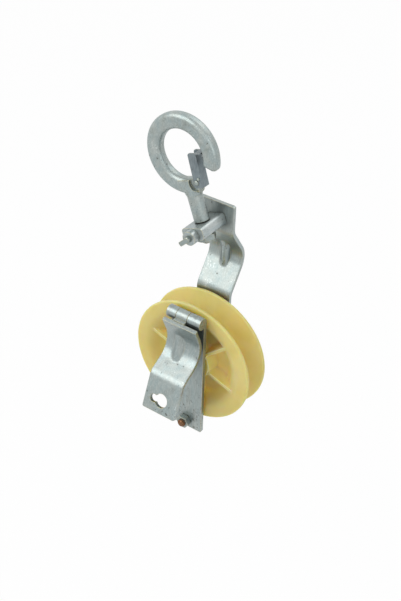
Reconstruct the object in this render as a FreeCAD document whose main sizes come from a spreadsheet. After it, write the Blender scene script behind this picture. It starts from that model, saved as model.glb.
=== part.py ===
import FreeCAD, Part
import math
import os
import re

import Sketcher

# A side-opening cable roller that hangs from a swivelling safety hook.
# Origin: centre of the roller. +X runs along the cable, +Y to the rear, +Z up.

SIZES = {
    # Flat bar frame
    "strap_width": 40,
    "strap_thick": 4,
    "plate_gap": 39,
    "plate_below": 8.5,
    "strap_above": 19.5,
    "bulge_drop": 47,
    "bulge_reach": 24.5,
    "bulge_slope": 34.5,
    "bulge_radius": 19,
    "bend_radius": 12,
    "corner_radius": 1.5,
    "gusset_width": 8,
    "gusset_depth": 9,
    "gusset_root": 3,
    "gusset_bury": 0.8,
    "gusset_round": 3.2,
    # Gate hinge
    "hinge_height": 62.5,
    "barrel_radius": 6.5,
    "pin_radius": 2.5,
    "pin_clearance": 0.05,
    "hinge_pin_bevel": 0.4,
    "knuckle_left": 8.9,
    "knuckle_right": 5.0,
    "knuckle_gap": 0.45,
    # Gate strap, drawn closed with the hinge axis at its origin
    "gate_angle": 158,
    "gate_lean": 45,
    "gate_return": 38,
    "gate_start_out": -10.4,
    "gate_start_up": 8.6,
    "gate_crown_out": 15.9,
    "gate_radius": 23,
    "gate_knee_radius": 9,
    "gate_overlap": 14,
    "tongue_out": -7.7,
    "tongue_up": 6.3,
    "gate_gusset_depth": 12,
    # Keyhole and lock pin
    "keyhole_clearance": 0.45,
    "lobe_offset": 8.8,
    "lobe_radius": 4.4,
    "lobe_tilt": 3,
    "bush_radius": 7,
    "bush_length": 7.2,
    "lock_pin_radius": 3,
    "lock_pin_reach": 4,
    "lock_head_radius": 3.6,
    "lock_head_length": 3,
    "bit_length": 3.4,
    "bit_width": 4.6,
    "bit_reach": 10.4,
    "bit_tilt": 45,
    "bit_round": 1.2,
    "pin_bevel": 0.6,
    # Crossbar, which turns in the rear strap and leans with the hook
    "crossbar_height": 153,
    "crossbar_half_width": 12.2,
    "crossbar_top": 7.2,
    "crossbar_bottom": 5,
    "crossbar_round": 3.6,
    "crossbar_front": 17.7,
    "swing_gap": 0.3,
    "shank_clearance": 0.3,
    "head_clearance": 0.2,
    "spigot_radius": 7,
    "spigot_clearance": 0.1,
    "spigot_end": 1,
    "collar_radius": 9.5,
    "collar_gap": 0.5,
    "collar_thick": 3,
    # Axle and bearings
    "axle_radius": 6,
    "axle_head_radius": 8.5,
    "axle_head": 2.5,
    "axle_tail": 16,
    "axle_head_slope": 1.2,
    "end_bevel": 0.9,
    "fit": 0.03,
    "axle_washer_radius": 12,
    "axle_washer": 2,
    "washer_clearance": 0.3,
    "axle_nut_flats": 19,
    "axle_nut": 10,
    "bearing_radius": 16,
    "bearing_width": 10,
    "bearing_centre": 10,
    "inner_ring_radius": 8.9,
    "outer_ring_radius": 12.9,
    "ball_radius": 2.9,
    "ball_pitch": 11,
    "ball_count": 8,
    "race_clearance": 0.12,
    "cage_wall": 0.9,
    "cage_half_width": 3.2,
    "shield_thick": 0.6,
    "shield_gap": 0.25,
    "spacer_radius": 8.6,
    # Roller
    "roller_radius": 69.5,
    "roller_width": 33,
    "rim_edge": 3.4,
    "rim_round": 1.4,
    "groove_radius": 43,
    "groove_root": 4.6,
    "groove_round": 4.2,
    "pocket_radius": 52.5,
    "pocket_floor_radius": 39,
    "pocket_round": 1.6,
    "web_half": 2.5,
    "hub_radius": 22,
    "hub_half": 15.7,
    "rib_thick": 3,
    "rib_inset": 1.4,
    "rib_count": 6,
    "roller_turn": 11,
    # Tie bolt
    "tie_gap": 1,
    "tie_radius": 4,
    "tie_clearance": 0.3,
    "tie_spacer_radius": 6,
    "tie_flats": 13,
    "tie_nut": 6.5,
    "tie_head": 5.3,
    "tie_end": 3,
    # Corners of every nut and bolt head, as shares of the distance across flats
    "nut_face": 0.49,
    "nut_rim": 0.62,
    # Hook, drawn upright with the crossbar's axis at its origin
    "hook_lean": 20,
    "shank_radius": 5,
    "shank_end": 3,
    "stem_radius": 7.5,
    "stem_drop": 41,
    "bowl_height": 75,
    "bowl_radius": 24,
    "bowl_depth": 15.5,
    "bowl_thick": 12,
    "bowl_round": 4.8,
    "tip_round": 4.3,
    "tip_angle": 30,
    "neck_angle": 75,
    "neck_half_width": 16,
    "neck_drop": 25,
    "hook_clearance": 0.3,
    "hook_nut_flats": 17,
    "hook_nut": 6.5,
    # Latch
    "latch_across": 10.5,
    "latch_drop": 27.8,
    "latch_tilt": 3,
    "latch_left": 3,
    "latch_right": 6,
    "latch_length": 29,
    "latch_sheet": 1.3,
    "fold_radius": 1.15,
    "latch_inner_half": 4.2,
    "tab_reach": 11.9,
    "tab_round": 2,
    "latch_pin_radius": 2,
    "latch_head": 1.2,
    "head_shoulder": 0.35,
    "rivet_crown": 1.4,
    "rivet_head_radius": 2.5,
    "stud_crown": 0.5,
    "latch_below": 5,
    "latch_round": 2.6,
    "lug_half": 3.9,
    "lug_radius": 4.4,
    "lug_seat_radius": 8.5,
    "lug_drop": 8,
    "lug_slot_half": 2.3,
    "lug_slot_spare": 0.6,
    "slot_rise": 6,
    "stud_across": 3.4,
    "stud_up": 3.6,
    "stud_radius": 1.5,
    "spring_wire": 0.7,
    "spring_radius": 3.1,
    "spring_leg": 12,
    "spring_tilt": 7,
    "spring_bite": 0.06,
}

doc = FreeCAD.newDocument("cable_roller")
sheet = doc.addObject("Spreadsheet::Sheet", "sizes")
subparts = []


def fill_sheet():
    for row, (alias, value) in enumerate(SIZES.items(), start=1):
        sheet.set(f"A{row}", alias)
        sheet.set(f"B{row}", str(value))
        sheet.setAlias(f"B{row}", alias)
    doc.recompute()


def cells(text):
    """Turn plain size names into references to the sheet."""
    return re.sub(r"[a-z][a-z_]*[a-z]", lambda m: f"sizes.{m[0]}" if m[0] in SIZES else m[0], str(text))


def number(text):
    return float(sheet.evalExpression(cells(text)))


# How near an edge must be to the place that a test names
NEAR = 0.02

# Lengths and places that several pieces share
HALF_WIDTH = "(strap_width / 2)"
INNER = "(plate_gap / 2)"
OUTER = "(plate_gap / 2 + strap_thick)"
HINGE_OUT = "(plate_gap / 2 + barrel_radius)"
BULGE_RISE = "(bulge_reach / tan(bulge_slope))"
BULGE_UP = "(crossbar_height - bulge_drop)"
STRAP_TOP = "(crossbar_height + strap_above)"
TIE_DROP = "(roller_radius + tie_gap + tie_spacer_radius)"
PLATE_DROP = f"({TIE_DROP} + plate_below)"
FLAT_INNER = "(plate_gap / 2 + barrel_radius - crossbar_front - knuckle_gap)"
LOCK_UP = "(crossbar_height - hinge_height)"
BUSH_FRONT = "(crossbar_front + bush_length)"
HOOK_SEAT = "(crossbar_top + hook_clearance)"
NUT_SEAT = "(crossbar_bottom + hook_clearance)"
STEM_TOP = "(bowl_height - stem_drop)"
NECK_TOP = "(bowl_height - neck_drop)"
LATCH_UP = "(bowl_height - latch_drop)"
SHANK_TAIL = f"({NUT_SEAT} + hook_nut + shank_end)"
COLLAR_START = f"({OUTER} + collar_gap)"
COLLAR_END = f"({OUTER} + collar_gap + collar_thick)"


def add_body(name):
    body = doc.addObject("PartDesign::Body", name)
    body.AllowCompound = True
    body.Label = name
    subparts.append(body)
    return body


def add_sketch(body, name, plane, start="0"):
    """A sketch on one of the body's own planes, moved by start along the plane's normal."""
    origin_plane = [f for f in body.Origin.OriginFeatures if f.Role == plane + "_Plane"][0]
    sketch = body.newObject("Sketcher::SketchObject", name)
    sketch.AttachmentSupport = [(origin_plane, "")]
    sketch.MapMode = "FlatFace"
    sketch.setExpression("AttachmentOffset.Base.z", cells(start))
    return sketch


def pin_point(sketch, index, end, across, up):
    for kind, text in (("DistanceX", across), ("DistanceY", up)):
        row = sketch.addConstraint(Sketcher.Constraint(kind, -1, 1, index, end, number(text)))
        sketch.setExpression(f"Constraints[{row}]", cells(text))


def draw_outline(sketch, points):
    """A closed outline of straight lines through points given as pairs of size formulas."""
    spots = [FreeCAD.Vector(number(a), number(b), 0) for a, b in points]
    first = sketch.GeometryCount
    total = len(points)
    for i in range(total):
        sketch.addGeometry(Part.LineSegment(spots[i], spots[(i + 1) % total]), False)
    for i in range(total):
        sketch.addConstraint(Sketcher.Constraint("Coincident", first + i, 2, first + (i + 1) % total, 1))
        pin_point(sketch, first + i, 1, *points[i])


def draw_circle(sketch, across, up, radius):
    centre = FreeCAD.Vector(number(across), number(up), 0)
    index = sketch.addGeometry(Part.Circle(centre, FreeCAD.Vector(0, 0, 1), number(radius)), False)
    pin_point(sketch, index, 3, across, up)
    row = sketch.addConstraint(Sketcher.Constraint("Radius", index, number(radius)))
    sketch.setExpression(f"Constraints[{row}]", cells(radius))


def draw_obround(sketch, across, up, half_width, radius):
    """A slot shape lying along the sketch's first direction."""
    reach = number(half_width) - number(radius)
    x, y, r = number(across), number(up), number(radius)
    first = sketch.GeometryCount
    for side in (1, -1):
        centre = FreeCAD.Vector(x + side * reach, y, 0)
        circle = Part.Circle(centre, FreeCAD.Vector(0, 0, 1), r)
        turn = -math.pi / 2 if side > 0 else math.pi / 2
        sketch.addGeometry(Part.ArcOfCircle(circle, turn, turn + math.pi), False)
    for side in (1, -1):
        ends = [FreeCAD.Vector(x + s * reach, y + side * r, 0) for s in (side, -side)]
        sketch.addGeometry(Part.LineSegment(*ends), False)
    for arc, end, line in ((0, 2, 2), (1, 2, 3)):
        sketch.addConstraint(Sketcher.Constraint("Tangent", first + arc, end, first + line, 1))
    for arc, end, line in ((1, 1, 2), (0, 1, 3)):
        sketch.addConstraint(Sketcher.Constraint("Tangent", first + arc, end, first + line, 2))
    pin_point(sketch, first, 3, f"{across} + {half_width} - {radius}", up)
    pin_point(sketch, first + 1, 3, f"{across} - {half_width} + {radius}", up)
    row = sketch.addConstraint(Sketcher.Constraint("Radius", first, r))
    sketch.setExpression(f"Constraints[{row}]", cells(radius))


def add_feature(body, kind, name, sketch):
    feature = body.newObject("PartDesign::" + kind, name)
    feature.Profile = sketch
    return feature


def check_change(body, feature, before, grows):
    """A pad or pocket that points the wrong way changes nothing, so the volume is compared."""
    doc.recompute()
    change = body.Shape.Volume - before
    if (change > 0) != grows:
        raise ValueError(f"{feature.Label} does not change {body.Label}")


def volume_of(body):
    doc.recompute()
    return body.Shape.Volume if body.Tip else 0.0


def pad_between(body, name, plane, draw, low, high, kind="Pad"):
    """Extrude what draw puts in a sketch from low to high along the plane's world axis."""
    before = volume_of(body)
    start = f"-({high})" if plane == "XZ" else low
    if kind == "Pocket":
        start = f"-({low})" if plane == "XZ" else high
    sketch = add_sketch(body, name + "_sketch", plane, start)
    draw(sketch)
    feature = add_feature(body, kind, name, sketch)
    feature.setExpression("Length", cells(f"({high}) - ({low})"))
    check_change(body, feature, before, kind == "Pad")
    return feature


def pocket_between(body, name, plane, draw, low, high):
    return pad_between(body, name, plane, draw, low, high, "Pocket")


def revolve(body, name, draw, kind="Revolution", plane="YZ", axis="H_Axis"):
    """Turn a sketch of the upper half plane through a full turn about its own axis."""
    before = volume_of(body)
    sketch = add_sketch(body, name + "_sketch", plane)
    draw(sketch)
    feature = add_feature(body, kind, name, sketch)
    feature.ReferenceAxis = (sketch, [axis])
    feature.Angle = 360
    check_change(body, feature, before, kind == "Revolution")
    return feature


def edges_where(feature, test):
    shape = feature.Shape
    return [f"Edge{i}" for i, edge in enumerate(shape.Edges, start=1) if test(edge)]


def dress(body, kind, name, feature, test, size):
    """Fillet or chamfer the edges of a feature that pass the test."""
    doc.recompute()
    names = edges_where(feature, test)
    if not names:
        raise ValueError(f"no edges for {name}")
    dressing = body.newObject("PartDesign::" + kind, name)
    dressing.Base = (feature, names)
    dressing.setExpression("Radius" if kind == "Fillet" else "Size", cells(size))
    doc.recompute()
    return dressing


def along_x_at(across, up):
    """Test for an edge along X that stands at the given Y and Z."""
    y, z = number(across), number(up)

    def test(edge):
        box = edge.BoundBox
        return box.XLength > 1 and abs(box.YMin - y) + abs(box.YMax - y) + abs(box.ZMin - z) < NEAR

    return test


def turned_section(points):
    return lambda sketch: draw_outline(sketch, points)


def ring_section(inner, outer, low, high):
    return [(low, inner), (low, outer), (high, outer), (high, inner)]


def hexagon(flats, across="0", up="0"):
    corner = f"({flats} / 2 / cos(30))"
    turns = [60 * i for i in range(6)]
    return [(f"{across} + {corner} * cos({a})", f"{up} + {corner} * sin({a})") for a in turns]


def place(body, x="0", y="0", z="0", axis=(0, 0, 1), angle="0"):
    turned = FreeCAD.Rotation(FreeCAD.Vector(*axis), 1)
    body.Placement = FreeCAD.Placement(FreeCAD.Vector(), turned)
    for letter, text in (("x", x), ("y", y), ("z", z)):
        body.setExpression(f"Placement.Base.{letter}", cells(text))
    body.setExpression("Placement.Rotation.Angle", cells(angle))


def make_rear_strap():
    """Flat bar with a bulge that clears the roller, drilled for the axle, the tie bolt and the crossbar."""
    body = add_body("rear_strap")
    low, high = f"{BULGE_UP} - {BULGE_RISE}", f"{BULGE_UP} + {BULGE_RISE}"
    ease = "strap_thick * tan(bulge_slope / 2)"
    crown = f"{INNER} + bulge_reach"
    crown_out = f"{crown} + strap_thick / cos(bulge_slope)"
    bends = [(INNER, low, "bend_radius + strap_thick"), (OUTER, f"{low} - {ease}", "bend_radius"),
             (INNER, high, "bend_radius + strap_thick"), (OUTER, f"{high} + {ease}", "bend_radius"),
             (crown, BULGE_UP, "bulge_radius"),
             (crown_out, BULGE_UP, "bulge_radius + strap_thick")]
    outline = [(INNER, f"-{PLATE_DROP}"), (OUTER, f"-{PLATE_DROP}"), (OUTER, f"{low} - {ease}"),
               (crown_out, BULGE_UP), (OUTER, f"{high} + {ease}"), (OUTER, STRAP_TOP),
               (INNER, STRAP_TOP), (INNER, high), (crown, BULGE_UP), (INNER, low)]
    feature = pad_between(body, "bar", "YZ", turned_section(outline), f"-{HALF_WIDTH}", HALF_WIDTH)
    for i, (across, up, radius) in enumerate(bends):
        feature = dress(body, "Fillet", f"bend_{i}", feature, along_x_at(across, up), radius)
    round_corners(body, feature, number(INNER), (f"-{PLATE_DROP}", STRAP_TOP))
    press_gusset(body, f"({crown})", BULGE_UP, "gusset_depth", ("bulge_slope", "bulge_slope"), 1)
    drill_plate(body, INNER, OUTER)
    spigot_hole = lambda s: draw_circle(s, "0", "crossbar_height", "spigot_radius + spigot_clearance")
    pocket_between(body, "spigot_hole", "XZ", spigot_hole, INNER, COLLAR_END)


def round_corners(body, feature, across, heights):
    """Round the four outer corners of a bar, at its two ends."""
    levels = [number(text) for text in heights]

    def test(edge):
        box = edge.BoundBox
        flat = box.XLength < NEAR and box.ZLength < NEAR and box.YLength > 1
        return flat and any(abs(box.ZMin - level) < NEAR for level in levels)

    return dress(body, "Fillet", "corners", feature, test, "corner_radius")


def press_gusset(body, crown, up, depth, slopes, side):
    """A pressed rib that bridges the hollow side of a bend, with its dent on the other side."""
    chord = f"{crown} - {side} * {depth}"
    root = f"{crown} - {side} * gusset_root"
    low, high = (f"({depth} / tan({slope}) + gusset_bury)" for slope in slopes)
    low_root, high_root = (f"(gusset_root / tan({slope}))" for slope in slopes)
    rib = [(chord, f"{up} - {low}"), (chord, f"{up} + {high}"),
           (root, f"{up} + {high_root}"), (root, f"{up} - {low_root}")]
    half = "gusset_width / 2"
    pad = pad_between(body, "gusset", "YZ", turned_section(rib), f"-{half}", half)
    line, reach = number(chord), number(half)
    shortest = number("gusset_width / 2")

    def crest(edge):
        box = edge.BoundBox
        at_side = abs(abs(box.XMin) - reach) < NEAR and box.XLength < NEAR
        return at_side and abs(box.YMin - line) < NEAR and box.YLength < NEAR and box.ZLength > shortest

    dress(body, "Fillet", "gusset_round", pad, crest, "gusset_round")


def drill_plate(body, low, high):
    for name, up, radius in (("axle_hole", "0", "axle_radius + fit"),
                             ("tie_hole", f"-{TIE_DROP}", "tie_radius + tie_clearance")):
        pocket_between(body, name, "XZ", lambda s: draw_circle(s, "0", up, radius), low, high)


def make_front_plate():
    """Flat bar whose top is rolled into two knuckles around the hinge pin."""
    body = add_body("front_plate")
    shoulder = "hinge_height - barrel_radius - knuckle_gap"
    plate = [(f"-{OUTER}", f"-{PLATE_DROP}"), (f"-{OUTER}", shoulder),
             (f"-{INNER}", shoulder), (f"-{INNER}", f"-{PLATE_DROP}")]
    bar = pad_between(body, "bar", "YZ", turned_section(plate), f"-{HALF_WIDTH}", HALF_WIDTH)
    round_corners(body, bar, -number(INNER), (f"-{PLATE_DROP}",))
    drill_plate(body, f"-{OUTER}", f"-{INNER}")
    neck = [(f"-{OUTER}", f"{shoulder} - 2"), (f"-{OUTER}", "hinge_height"),
            (f"-{INNER}", "hinge_height"), (f"-{INNER}", f"{shoulder} - 2")]
    knuckles = (("left", f"-{HALF_WIDTH}", "-knuckle_left"), ("right", "knuckle_right", HALF_WIDTH))
    for name, low, high in knuckles:
        pad_between(body, name + "_neck", "YZ", turned_section(neck), low, high)
        roll = lambda s: draw_circle(s, f"-{HINGE_OUT}", "hinge_height", "barrel_radius")
        pad_between(body, name + "_knuckle", "YZ", roll, low, high)
    bore = lambda s: draw_circle(s, f"-{HINGE_OUT}", "hinge_height", "pin_radius + pin_clearance")
    pocket_between(body, "pin_bore", "YZ", bore, f"-{HALF_WIDTH}", HALF_WIDTH)


def make_hinge_pin():
    body = add_body("hinge_pin")
    circle = lambda s: draw_circle(s, f"-{HINGE_OUT}", "hinge_height", "pin_radius")
    pad = pad_between(body, "pin", "YZ", circle, f"-{HALF_WIDTH}", HALF_WIDTH)
    dress(body, "Chamfer", "ends", pad, lambda e: e.isClosed(), "hinge_pin_bevel")


def make_gate_strap():
    """The swinging bar: knuckle and tongue, a bulge like the rear bar's, and the keyhole end."""
    body = add_body("gate_strap")
    lean = "gate_lean"
    start_out, start_up = "gate_start_out", "gate_start_up"
    crown_up = f"({start_up} + (gate_crown_out - ({start_out})) / tan({lean}))"
    flat_out = f"(-{FLAT_INNER})"
    knee_up = f"({crown_up} + (gate_crown_out - {flat_out}) / tan(gate_return))"
    end_up = f"({LOCK_UP} + gate_overlap)"
    wall = "strap_thick"
    turn = f"(({lean} + gate_return) / 2)"
    skew = f"(({lean} - gate_return) / 2)"
    crown_step = f"({wall} / cos{turn})"
    knee_step = f"({wall} * tan(gate_return / 2))"
    far_start = (f"-({start_out} + {wall} * cos({lean}))", f"{start_up} - {wall} * sin({lean})")
    far_crown = (f"-(gate_crown_out + {crown_step} * cos{skew})", f"{crown_up} - {crown_step} * sin{skew}")
    far_knee = (f"-({flat_out} + {wall})", f"{knee_up} + {knee_step}")
    near_crown, near_knee = ("-gate_crown_out", crown_up), (f"-{flat_out}", knee_up)
    outline = [(f"-({start_out})", start_up), near_crown, near_knee, (f"-{flat_out}", end_up),
               (f"-({flat_out} + {wall})", end_up), far_knee, far_crown, far_start]
    feature = pad_between(body, "bar", "YZ", turned_section(outline), f"-{HALF_WIDTH}", HALF_WIDTH)
    bends = [(near_crown, "gate_radius"), (far_crown, "gate_radius + strap_thick"),
             (near_knee, "gate_knee_radius + strap_thick"), (far_knee, "gate_knee_radius")]
    for i, (spot, radius) in enumerate(bends):
        feature = dress(body, "Fillet", f"bend_{i}", feature, along_x_at(*spot), radius)
    round_corners(body, feature, 0, (end_up,))
    add_gate_knuckle(body)
    press_gusset(body, "(-gate_crown_out)", crown_up, "gate_gusset_depth", (lean, "gate_return"), -1)
    cut_keyhole(body, flat_out)
    place(body, y=f"-{HINGE_OUT}", z="hinge_height", axis=(1, 0, 0), angle="gate_angle")


def add_gate_knuckle(body):
    """The tongue runs from the end of the bar to the roll around the hinge pin."""
    root_out, root_up = "(-barrel_radius / 2)", "(barrel_radius / 2)"
    slope = f"atan((tongue_up - {root_up}) / ({root_out} - tongue_out))"
    shift_out, shift_up = f"(strap_thick / 2 * sin({slope}))", f"(strap_thick / 2 * cos({slope}))"
    web = [(f"-(tongue_out + {shift_out})", f"tongue_up + {shift_up}"),
           (f"-({root_out} + {shift_out})", f"{root_up} + {shift_up}"),
           (f"-({root_out} - {shift_out})", f"{root_up} - {shift_up}"),
           (f"-(tongue_out - {shift_out})", f"tongue_up - {shift_up}")]
    low, high = "-knuckle_left + knuckle_gap", "knuckle_right - knuckle_gap"
    pad_between(body, "tongue", "YZ", turned_section(web), low, high)
    pad_between(body, "knuckle", "YZ", lambda s: draw_circle(s, "0", "0", "barrel_radius"), low, high)
    bore = lambda s: draw_circle(s, "0", "0", "pin_radius + pin_clearance")
    pocket_between(body, "pin_bore", "YZ", bore, low, high)


def cut_keyhole(body, flat_out):
    """A round hole that drops over the bush, with a lobe that lets the lock bit through."""
    low, high = f"-({flat_out} + strap_thick) - 1", f"-{flat_out} + 1"
    hole = lambda s: draw_circle(s, "0", LOCK_UP, "bush_radius + keyhole_clearance")
    pocket_between(body, "keyhole", "XZ", hole, low, high)
    lobe_x, lobe_z = "-lobe_offset * cos(lobe_tilt)", f"{LOCK_UP} + lobe_offset * sin(lobe_tilt)"
    lobe = lambda s: draw_circle(s, lobe_x, lobe_z, "lobe_radius")
    pocket_between(body, "lobe", "XZ", lobe, low, high)


def make_axle():
    """Shouldered shaft with a low riveted head in front and a nut at the rear."""
    body = add_body("axle")
    head = f"{OUTER} + axle_head"
    section = [(f"-({head})", "0"), (f"-({head})", "axle_head_radius - axle_head_slope"),
               (f"-({head} - axle_head_slope)", "axle_head_radius"), (f"-{OUTER}", "axle_head_radius"),
               (f"-{OUTER}", "axle_radius"), (f"{OUTER} + axle_tail - end_bevel", "axle_radius"),
               (f"{OUTER} + axle_tail", "axle_radius - end_bevel"), (f"{OUTER} + axle_tail", "0")]
    revolve(body, "shaft", turned_section(section))


def make_tube(name, inner, outer, low, high):
    body = add_body(name)
    revolve(body, "tube", turned_section(ring_section(inner, outer, low, high)))
    return body


def make_nut(name, flats, bore, low, high, along="Y"):
    """Hexagon nut whose corners are turned back at both faces."""
    body = add_body(name)
    plane = {"Y": "XZ", "Z": "XY"}[along]
    pad_between(body, "hexagon", plane, lambda s: draw_outline(s, hexagon(flats)), low, high)
    pocket_between(body, "bore", plane, lambda s: draw_circle(s, "0", "0", bore), low, high)
    trim_corners(body, flats, low, high, along)
    return body


def trim_corners(body, flats, low, high, along="Y"):
    inner, outer = f"({flats} * nut_face)", f"({flats} * nut_rim)"
    slope = f"({outer} - {inner}) * tan(30)"

    def rings(sketch):
        for face, inward in ((low, "+"), (high, "-")):
            ring = [(face, inner), (face, outer), (f"{face} {inward} {slope}", outer)]
            draw_outline(sketch, ring if along == "Y" else [(up, across) for across, up in ring])

    revolve(body, "corners", rings, "Groove", axis="H_Axis" if along == "Y" else "V_Axis")


def make_tie_bolt():
    """Bolt across the foot of the frame, head at the rear."""
    body = add_body("tie_bolt")
    tail, top = f"({OUTER} + tie_nut + tie_end)", f"({OUTER} + tie_head)"
    head = lambda s: draw_outline(s, hexagon("tie_flats"))
    pad_between(body, "head", "XZ", head, OUTER, top)
    inner, outer = "(tie_flats * nut_face)", "(tie_flats * nut_rim)"
    corner = [(top, inner), (top, outer), (f"{top} - ({outer} - {inner}) * tan(30)", outer)]
    revolve(body, "head_corners", turned_section(corner), "Groove")
    shank = [(f"-{tail}", "0"), (f"-{tail}", "tie_radius - end_bevel"),
             (f"-{tail} + end_bevel", "tie_radius"),
             (f"{OUTER} + 1", "tie_radius"), (f"{OUTER} + 1", "0")]
    revolve(body, "shank", turned_section(shank))
    place(body, z=f"-{TIE_DROP}")


def make_tie_spacer():
    body = add_body("tie_spacer")

    def rings(sketch):
        draw_circle(sketch, "0", f"-{TIE_DROP}", "tie_spacer_radius")
        draw_circle(sketch, "0", f"-{TIE_DROP}", "tie_radius + tie_clearance")

    pad_between(body, "tube", "XZ", rings, f"-{INNER}", INNER)


def make_crossbar():
    """Solid bar bored for the hook shank, with a socket for the lock pin's head and a spigot at the rear."""
    body = add_body("crossbar")
    half, back = "crossbar_half_width", f"({INNER} - swing_gap)"
    section = [(f"-{half}", "-crossbar_bottom"), (half, "-crossbar_bottom"),
               (half, "crossbar_top"), (f"-{half}", "crossbar_top")]
    bar = pad_between(body, "bar", "XZ", turned_section(section), "-crossbar_front", back)
    length = number(f"{back} + crossbar_front")
    whole_length = lambda e: abs(e.BoundBox.YLength - length) < NEAR
    dress(body, "Fillet", "long_edges", bar, whole_length, "crossbar_round")
    spigot = [(f"{back} - 1", "0"), (f"{back} - 1", "spigot_radius"),
              (f"{COLLAR_END} + spigot_end", "spigot_radius"), (f"{COLLAR_END} + spigot_end", "0")]
    revolve(body, "spigot", turned_section(spigot))
    bore = lambda s: draw_circle(s, "0", "0", "shank_radius + shank_clearance")
    pocket_between(body, "shank_bore", "XY", bore, "-crossbar_bottom", "crossbar_top")
    socket = lambda s: draw_circle(s, "0", "0", "lock_head_radius + head_clearance")
    depth = "(lock_head_length + knuckle_gap + head_clearance)"
    pocket_between(body, "lock_socket", "XZ", socket, "-crossbar_front", f"-crossbar_front + {depth}")
    lean_on_hook(body)


def make_lock_pin_bush():
    body = add_body("lock_pin_bush")
    bore, face = "lock_pin_radius + pin_clearance", "-crossbar_front"
    section = ring_section(bore, "bush_radius", f"-{BUSH_FRONT}", face)
    revolve(body, "ring", turned_section(section))
    place(body, z="crossbar_height")


def make_lock_pin():
    """Turning pin with a retaining head inside the crossbar and a side bit in front."""
    body = add_body("lock_pin")
    back = "-(crossbar_front - knuckle_gap)"
    front = f"-({BUSH_FRONT} + lock_pin_reach)"
    section = [(front, "0"), (front, "lock_pin_radius - pin_bevel"),
               (f"{front} + pin_bevel", "lock_pin_radius"),
               (back, "lock_pin_radius"), (back, "lock_head_radius"),
               (f"{back} + lock_head_length", "lock_head_radius"), (f"{back} + lock_head_length", "0")]
    revolve(body, "shaft", turned_section(section))
    half = "bit_width / 2"
    bit = [("-bit_reach", f"-{half}"), ("-bit_reach", half), ("0", half), ("0", f"-{half}")]
    pad = pad_between(body, "bit", "XZ", turned_section(bit), front, f"{front} + bit_length")
    tip = -number("bit_reach")
    corner = lambda e: abs(e.BoundBox.XMax - tip) < NEAR and e.BoundBox.YLength > 1
    dress(body, "Fillet", "bit_corners", pad, corner, "bit_round")
    place(body, z="crossbar_height", axis=(0, -1, 0), angle="bit_tilt")


def circle_at(across, radius):
    """Test for a closed edge around the Y axis."""
    y, r = number(across), number(radius)

    def test(edge):
        box = edge.BoundBox
        level = max(abs(box.YMin - y), abs(box.YMax - y)) < NEAR
        return edge.isClosed() and level and abs(box.ZMax - r) < NEAR

    return test


def repeat_round(body, name, originals, count):
    """Repeat features round the Y axis."""
    pattern = body.newObject("PartDesign::PolarPattern", name)
    pattern.Originals = originals
    axis = [f for f in body.Origin.OriginFeatures if f.Role == "Y_Axis"][0]
    pattern.Axis = (axis, [""])
    pattern.Angle = 360
    pattern.setExpression("Occurrences", cells(count))
    body.Tip = pattern
    doc.recompute()
    return pattern


def make_roller():
    """Moulded roller: grooved rim, thin web, ribbed pockets on both faces and a bored hub."""
    body = add_body("roller")
    half, groove_top = "(roller_width / 2)", "(roller_width / 2 - rim_edge)"
    shoulder = "(bearing_centre - bearing_width / 2)"
    seat = "(bearing_radius + fit)"
    right = [("groove_root", "groove_radius"), (groove_top, "roller_radius"), (half, "roller_radius"),
             (half, "pocket_radius"), ("web_half", "pocket_floor_radius"), ("web_half", "hub_radius"),
             ("hub_half", "hub_radius"), ("hub_half", seat), (shoulder, seat),
             (shoulder, f"{seat} - 1.5")]
    left = [(f"-{across}", up) for across, up in reversed(right)]
    feature = revolve(body, "rim", turned_section(right + left))
    for side, end in (("", "_rear"), ("-", "_front")):
        rounds = (("edge", half, "roller_radius", "rim_round"),
                  ("lip", groove_top, "roller_radius", "rim_round"),
                  ("root", "groove_root", "groove_radius", "groove_round"),
                  ("pocket", half, "pocket_radius", "pocket_round"))
        for name, across, up, radius in rounds:
            test = circle_at(f"{side}{across}", up)
            feature = dress(body, "Fillet", name + end, feature, test, radius)
    add_ribs(body)
    place(body, axis=(0, -1, 0), angle="roller_turn")


def add_ribs(body):
    half = "(roller_width / 2)"
    slope = "((pocket_radius - pocket_floor_radius) / (roller_width / 2 - web_half))"
    top, low = f"({half} - rib_inset)", "(web_half - 1)"
    section = [(low, "hub_radius - 1"), (top, "hub_radius - 1"),
               (top, f"pocket_floor_radius + ({top} - web_half) * {slope} + 1"),
               (low, f"pocket_floor_radius + ({low} - web_half) * {slope} + 1")]

    def ribs(sketch):
        draw_outline(sketch, section)
        draw_outline(sketch, [(f"-{across}", up) for across, up in section])

    rib = pad_between(body, "rib", "YZ", ribs, "-rib_thick / 2", "rib_thick / 2")
    repeat_round(body, "ribs", [rib], "rib_count")


def both_sides(inner, outer, low, high):
    """Ring sections mirrored about the roller's middle plane."""

    def draw(sketch):
        draw_outline(sketch, ring_section(inner, outer, low, high))
        draw_outline(sketch, ring_section(inner, outer, f"-({high})", f"-({low})"))

    return draw


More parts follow.
